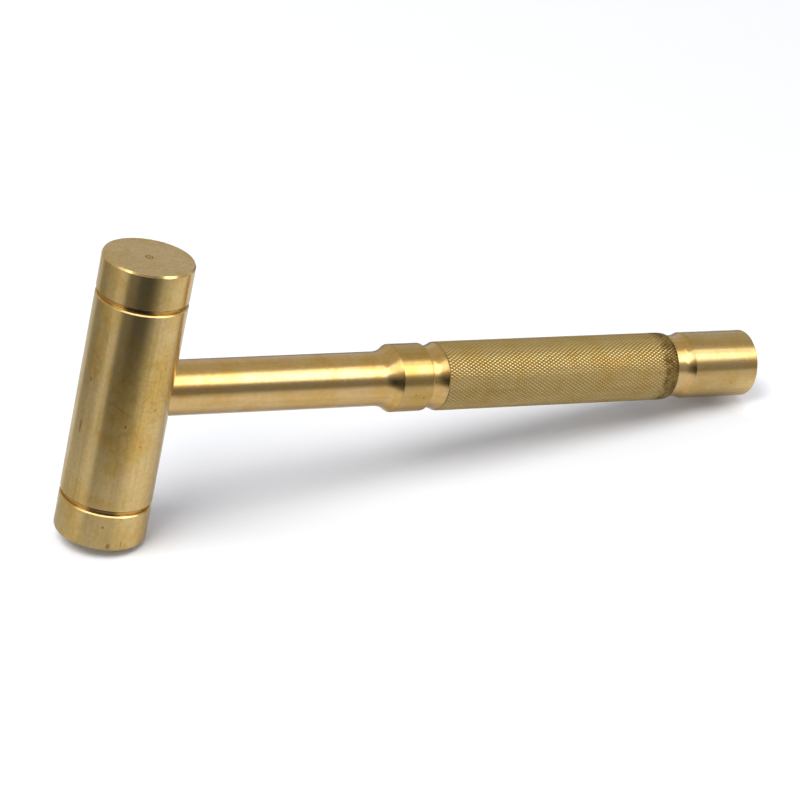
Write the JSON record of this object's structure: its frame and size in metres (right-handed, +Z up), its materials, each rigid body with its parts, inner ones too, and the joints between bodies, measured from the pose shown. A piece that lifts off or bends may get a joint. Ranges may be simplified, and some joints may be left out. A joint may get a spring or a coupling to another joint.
{
  "type": "brass hammer",
  "caption": "Solid brass hammer: a round bar head with flat faces and turned grooves on a turned handle with a collar, a diamond-knurled grip and a plain pommel.",
  "frame": {"origin": "on the surface that the hammer lies on, under the middle of its bounding box", "axes": "+X from the head towards the handle's end, +Z up from the surface; the hammer lies tipped towards its handle, on the rim of its lower face and the rim of its pommel, so the head's axis leans 9.9 degrees towards +X; the XZ plane is its plane of symmetry"},
  "size_m": [0.2736, 0.0318, 0.1058],
  "materials": {
    "head_brass": "turned and lightly tarnished",
    "handle_brass": "fine turned, with a diamond-knurled grip"
  },
  "bodies": {
    "root": {"head": "head_brass", "handle": "handle_brass"}
  },
  "joints": []
}
